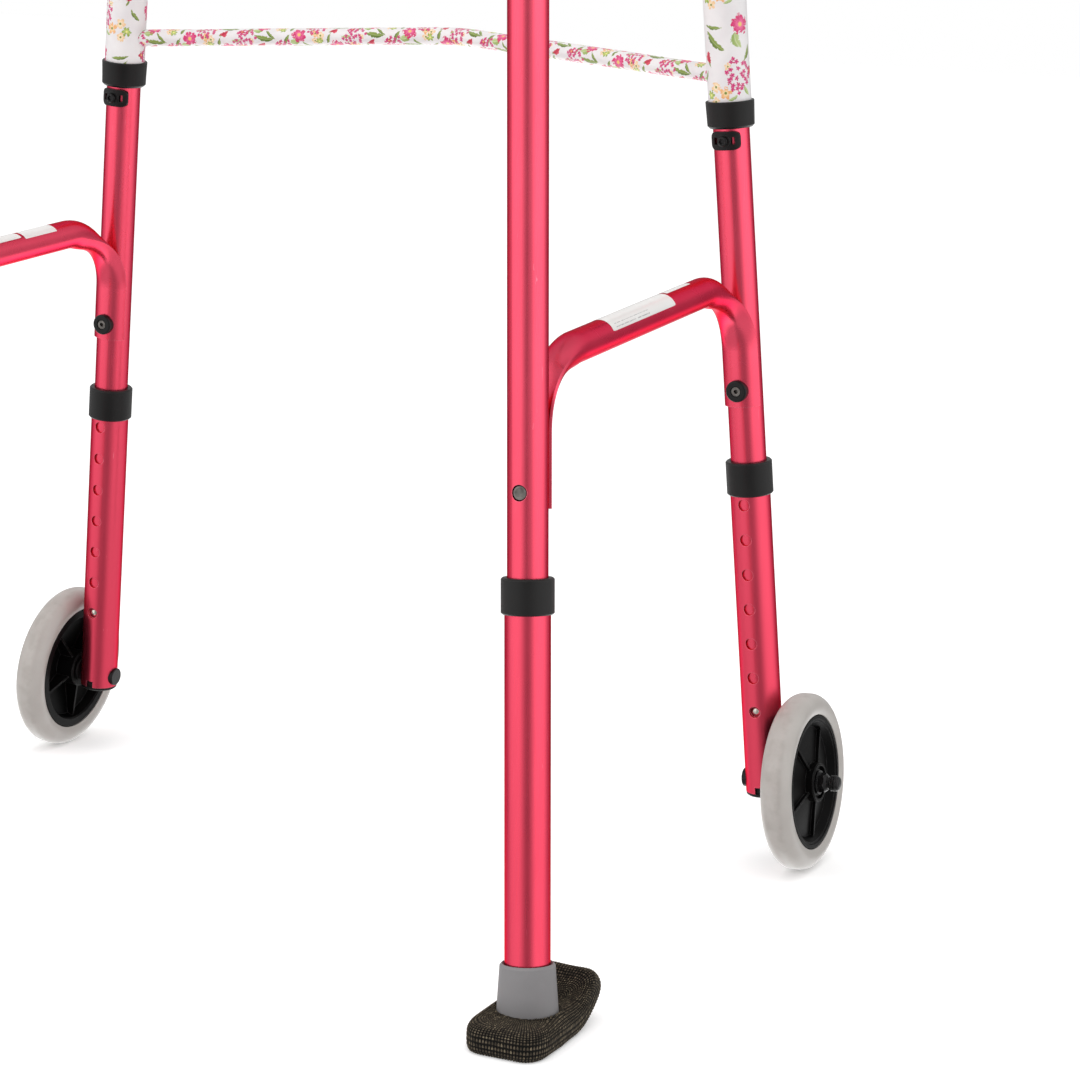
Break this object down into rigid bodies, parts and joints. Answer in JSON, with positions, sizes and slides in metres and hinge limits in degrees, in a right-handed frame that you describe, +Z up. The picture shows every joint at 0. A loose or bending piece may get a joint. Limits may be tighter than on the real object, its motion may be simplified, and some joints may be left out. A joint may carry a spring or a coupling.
{
  "type": "front wheeled walker",
  "caption": "Folding walking frame with wheels on its front legs and fabric-covered glides on its rear legs, with leg height set by snap buttons.",
  "frame": {"origin": "on the floor, in the middle of the walker's footprint, at the lowest leg setting", "axes": "+Z up, +Y the way the walker travels, +X the user's right"},
  "size_m": [0.685, 0.5148, 0.8155],
  "materials": {
    "anodised_tube": "satin anodised, pink red",
    "floral_coat": "white coat printed with small flowers",
    "black_plastic": "satin moulded",
    "paddle_plastic": "fine-textured moulded",
    "hub_plastic": "satin moulded",
    "bush_plastic": "smooth moulded",
    "zinc_steel": "zinc plated",
    "black_steel": "black oxide",
    "grip_rubber": "soft moulded, fine texture",
    "tyre_rubber": "smooth non-marking",
    "cup_rubber": "smooth matte",
    "knit": "dark knit with pale flecks"
  },
  "bodies": {
    "front_frame": {"front_sleeves": "floral_coat", "sleeve_collars": "black_plastic", "lower_cross_bar": "floral_coat", "upper_cross_bar": "floral_coat", "plunger_guides": "black_plastic", "paddle_brackets": "black_plastic", "paddle_pins": "zinc_steel", "right_latch_spring": "zinc_steel", "left_latch_spring": "zinc_steel"},
    "right_side_frame": {"right_side_tube": "anodised_tube", "right_hand_grip": "grip_rubber", "right_side_brace": "anodised_tube", "right_brace_washer": "black_plastic", "right_brace_barrels": "zinc_steel", "right_side_screws": "zinc_steel", "right_stop_clip": "black_plastic", "right_front_snap_spring": "zinc_steel", "right_rear_snap_spring": "zinc_steel"},
    "right_front_leg": {"right_front_extension": "anodised_tube", "right_front_collar": "black_plastic", "right_front_end_plug": "black_plastic", "right_axle_bolt": "black_steel", "right_axle_nuts": "black_steel"},
    "right_wheel": {"right_tyre": "tyre_rubber", "right_wheel_hub": "hub_plastic", "right_wheel_bushes": "bush_plastic"},
    "right_rear_leg": {"right_rear_extension": "anodised_tube", "right_rear_collar": "black_plastic", "right_ski_glide": "cup_rubber", "right_glide_cover": "knit"},
    "right_front_button": {"right_front_snap_button": "zinc_steel"},
    "right_rear_button": {"right_rear_snap_button": "zinc_steel"},
    "right_paddle": {"right_release_paddle": "paddle_plastic"},
    "right_plunger": {"right_latch_plunger": "zinc_steel"},
    "left_side_frame": {"left_side_tube": "anodised_tube", "left_hand_grip": "grip_rubber", "left_side_brace": "anodised_tube", "left_brace_washer": "black_plastic", "left_brace_barrels": "zinc_steel", "left_side_screws": "zinc_steel", "left_stop_clip": "black_plastic", "left_front_snap_spring": "zinc_steel", "left_rear_snap_spring": "zinc_steel"},
    "left_front_leg": {"left_front_extension": "anodised_tube", "left_front_collar": "black_plastic", "left_front_end_plug": "black_plastic", "left_axle_bolt": "black_steel", "left_axle_nuts": "black_steel"},
    "left_wheel": {"left_tyre": "tyre_rubber", "left_wheel_hub": "hub_plastic", "left_wheel_bushes": "bush_plastic"},
    "left_rear_leg": {"left_rear_extension": "anodised_tube", "left_rear_collar": "black_plastic", "left_ski_glide": "cup_rubber", "left_glide_cover": "knit"},
    "left_front_button": {"left_front_snap_button": "zinc_steel"},
    "left_rear_button": {"left_rear_snap_button": "zinc_steel"},
    "left_paddle": {"left_release_paddle": "paddle_plastic"},
    "left_plunger": {"left_latch_plunger": "zinc_steel"}
  },
  "joints": [
    {"name": "right_fold", "type": "hinge", "parent": "front_frame", "child": "right_side_frame", "pos_m": [0.24144, 0.16357, 0.59709], "axis": [0.0806, 0.0563, -0.9952], "range_deg": [0, 90]},
    {"name": "right_front_leg_height", "type": "slide", "parent": "right_side_frame", "child": "right_front_leg", "axis": [0.0806, 0.0563, -0.9952], "range_m": [0, 0.1524]},
    {"name": "right_rear_leg_height", "type": "slide", "parent": "right_side_frame", "child": "right_rear_leg", "axis": [0.0803, -0.1009, -0.9917], "range_m": [0, 0.1524]},
    {"name": "right_wheel_spin", "type": "hinge", "parent": "right_front_leg", "child": "right_wheel", "pos_m": [0.31375, 0.19392, 0.06348], "axis": [0.9967, 0, 0.0807], "continuous": true},
    {"name": "right_front_button_press", "type": "slide", "parent": "right_side_frame", "child": "right_front_button", "axis": [0.0045, -0.9984, -0.0562], "range_m": [-0.0035, 0.00125], "stiffness_N_per_m": 800, "deforming": ["right_front_snap_spring"]},
    {"name": "right_rear_button_press", "type": "slide", "parent": "right_side_frame", "child": "right_rear_button", "axis": [0.0081, 0.9949, -0.1006], "range_m": [-0.0035, 0.00125], "stiffness_N_per_m": 800, "deforming": ["right_rear_snap_spring"]},
    {"name": "right_paddle_press", "type": "hinge", "parent": "front_frame", "child": "right_paddle", "pos_m": [0.14341, 0.18432, 0.71525], "axis": [0.2782, 0.9605, 0], "range_deg": [0, 17.51]},
    {"name": "right_plunger_draw", "type": "slide", "parent": "front_frame", "child": "right_plunger", "axis": [-0.9594, 0.2779, 0.0488], "range_m": [0, 0.0055], "deforming": ["right_latch_spring"]},
    {"name": "left_fold", "type": "hinge", "parent": "front_frame", "child": "left_side_frame", "pos_m": [-0.24144, 0.16357, 0.59709], "axis": [0.0806, -0.0563, 0.9952], "range_deg": [0, 78]},
    {"name": "left_front_leg_height", "type": "slide", "parent": "left_side_frame", "child": "left_front_leg", "axis": [-0.0806, 0.0563, -0.9952], "range_m": [0, 0.1524]},
    {"name": "left_rear_leg_height", "type": "slide", "parent": "left_side_frame", "child": "left_rear_leg", "axis": [-0.0803, -0.1009, -0.9917], "range_m": [0, 0.1524]},
    {"name": "left_wheel_spin", "type": "hinge", "parent": "left_front_leg", "child": "left_wheel", "pos_m": [-0.31375, 0.19392, 0.06348], "axis": [0.9967, 0, -0.0807], "continuous": true},
    {"name": "left_front_button_press", "type": "slide", "parent": "left_side_frame", "child": "left_front_button", "axis": [-0.0045, -0.9984, -0.0562], "range_m": [-0.0035, 0.00125], "stiffness_N_per_m": 800, "deforming": ["left_front_snap_spring"]},
    {"name": "left_rear_button_press", "type": "slide", "parent": "left_side_frame", "child": "left_rear_button", "axis": [-0.0081, 0.9949, -0.1006], "range_m": [-0.0035, 0.00125], "stiffness_N_per_m": 800, "deforming": ["left_rear_snap_spring"]},
    {"name": "left_paddle_press", "type": "hinge", "parent": "front_frame", "child": "left_paddle", "pos_m": [-0.14341, 0.18432, 0.71525], "axis": [0.2782, -0.9605, 0], "range_deg": [0, 17.51]},
    {"name": "left_plunger_draw", "type": "slide", "parent": "front_frame", "child": "left_plunger", "axis": [0.9594, 0.2779, 0.0488], "range_m": [0, 0.0055], "deforming": ["left_latch_spring"]}
  ],
  "couplings": [
    {"joint": "right_plunger_draw", "follows": "right_paddle_press", "m_per_rad": 0.018},
    {"joint": "left_plunger_draw", "follows": "left_paddle_press", "m_per_rad": 0.018}
  ]
}
